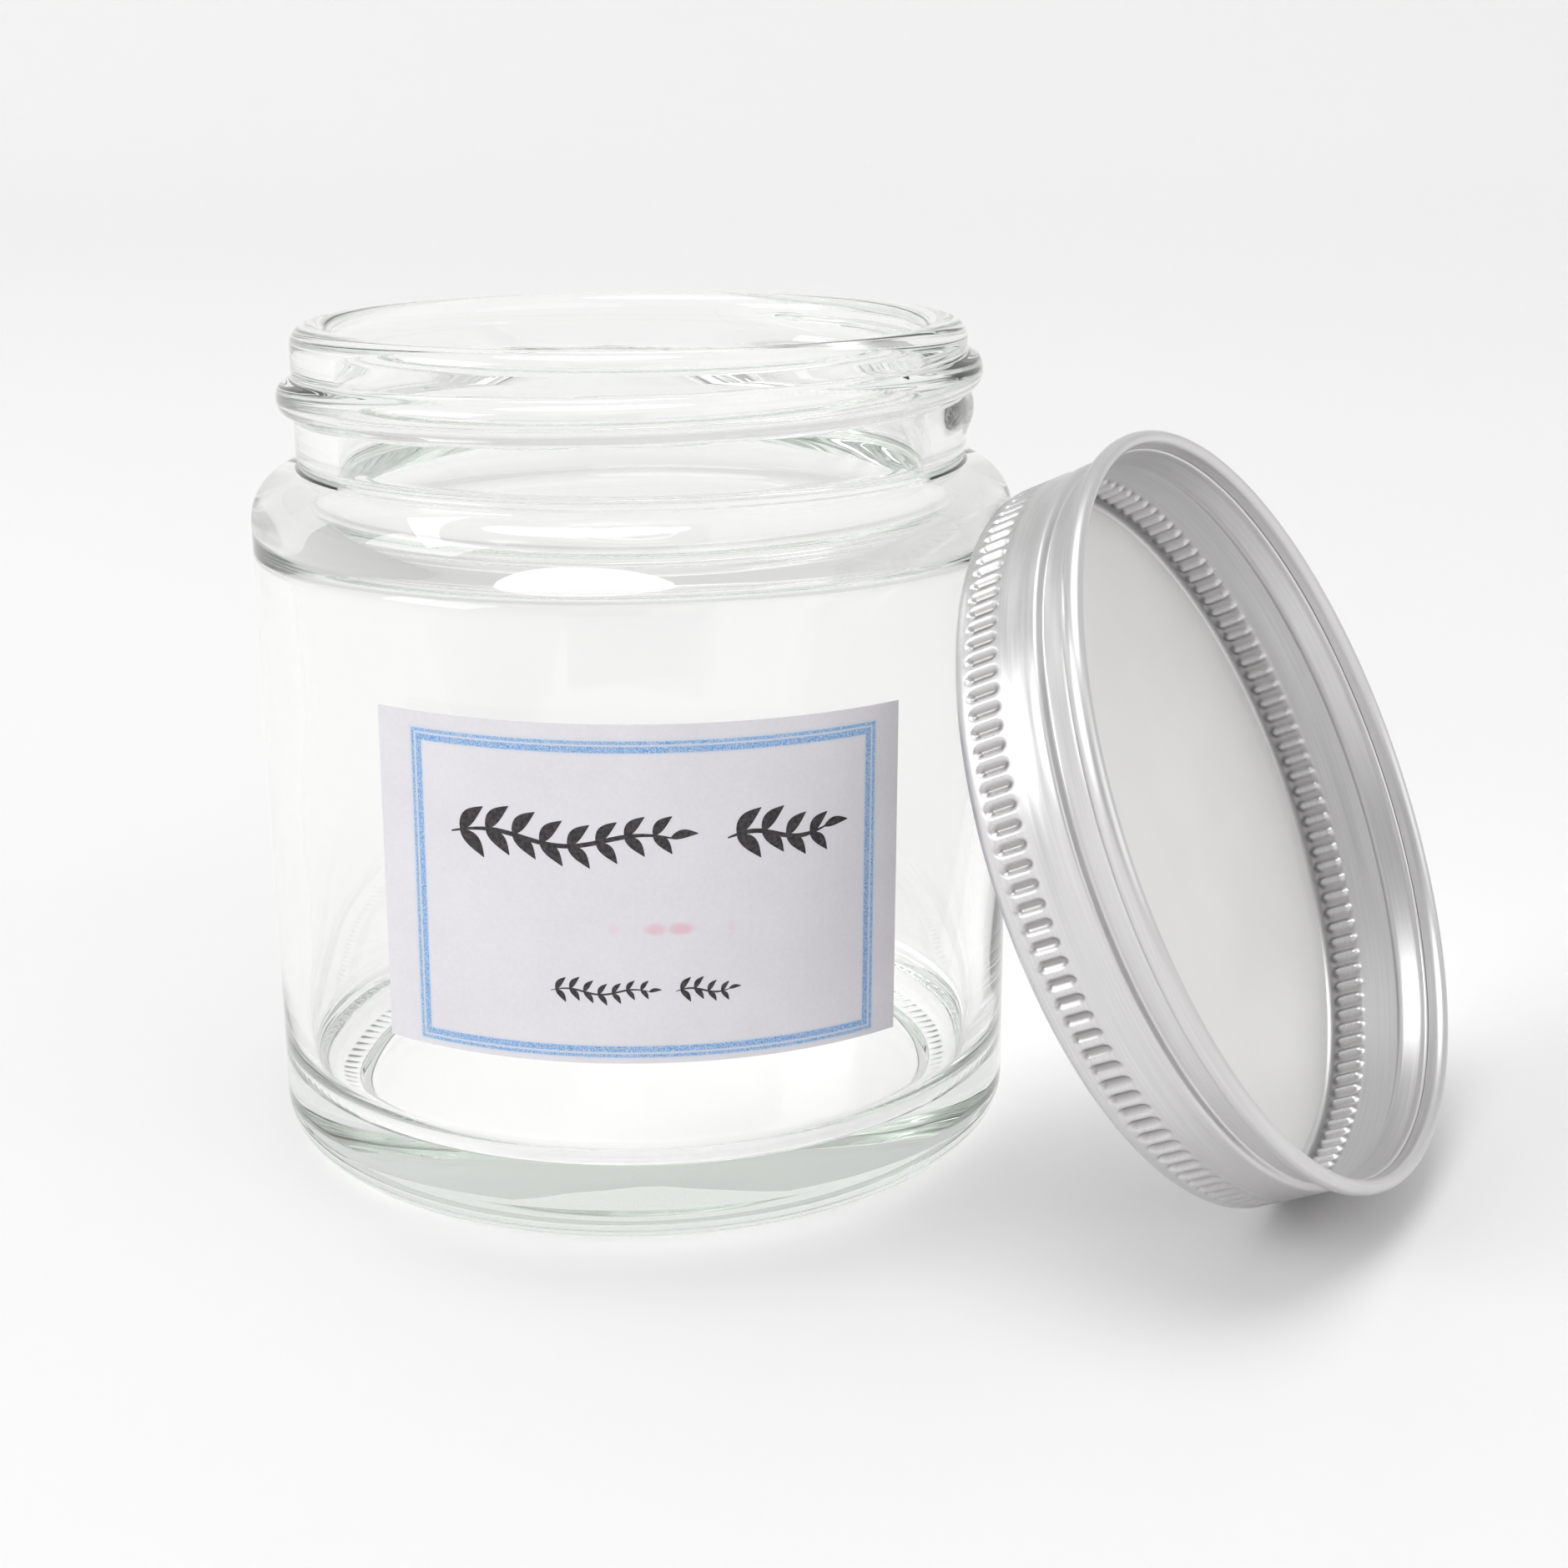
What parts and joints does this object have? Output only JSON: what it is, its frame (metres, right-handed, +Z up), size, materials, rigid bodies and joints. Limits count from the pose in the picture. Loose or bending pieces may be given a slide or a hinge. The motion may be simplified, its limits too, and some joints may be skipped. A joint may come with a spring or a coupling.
{
  "type": "candle jar with screw lid",
  "caption": "Clear straight-sided glass candle jar, empty, with a paper label and an aluminium screw lid that leans open against its side.",
  "frame": {"origin": "centre of the jar's foot, on the jar's axis, in the plane that it stands on", "axes": "+Z up along the jar's axis; -Y is the side that the label faces; the lid leans on the +X side, a little towards -Y"},
  "size_m": [0.1209, 0.0966, 0.0815],
  "materials": {
    "clear_glass": "clear, polished",
    "label_paper": "matt uncoated paper",
    "lid_aluminium": "satin, lightly brushed",
    "liner_foam": "satin foam sheet"
  },
  "bodies": {
    "jar": {"glass_jar": "clear_glass", "paper_label": "label_paper"},
    "lid_seal": {"lid_liner": "liner_foam"},
    "lid_cap": {"lid_shell": "lid_aluminium"}
  },
  "joints": [
    {"name": "lid_carry", "type": "hinge", "parent": "jar", "child": "lid_seal", "pos_m": [0.04202, -0.02033, 0.08103], "axis": [-0.4545, -0.8881, -0.069], "range_deg": [0, 244.82]},
    {"name": "lid_turn", "type": "hinge", "parent": "lid_seal", "child": "lid_cap", "pos_m": [0.04905, -0.02016, 0.03248], "axis": [0.759, -0.4986, 0.4187], "continuous": true}
  ]
}
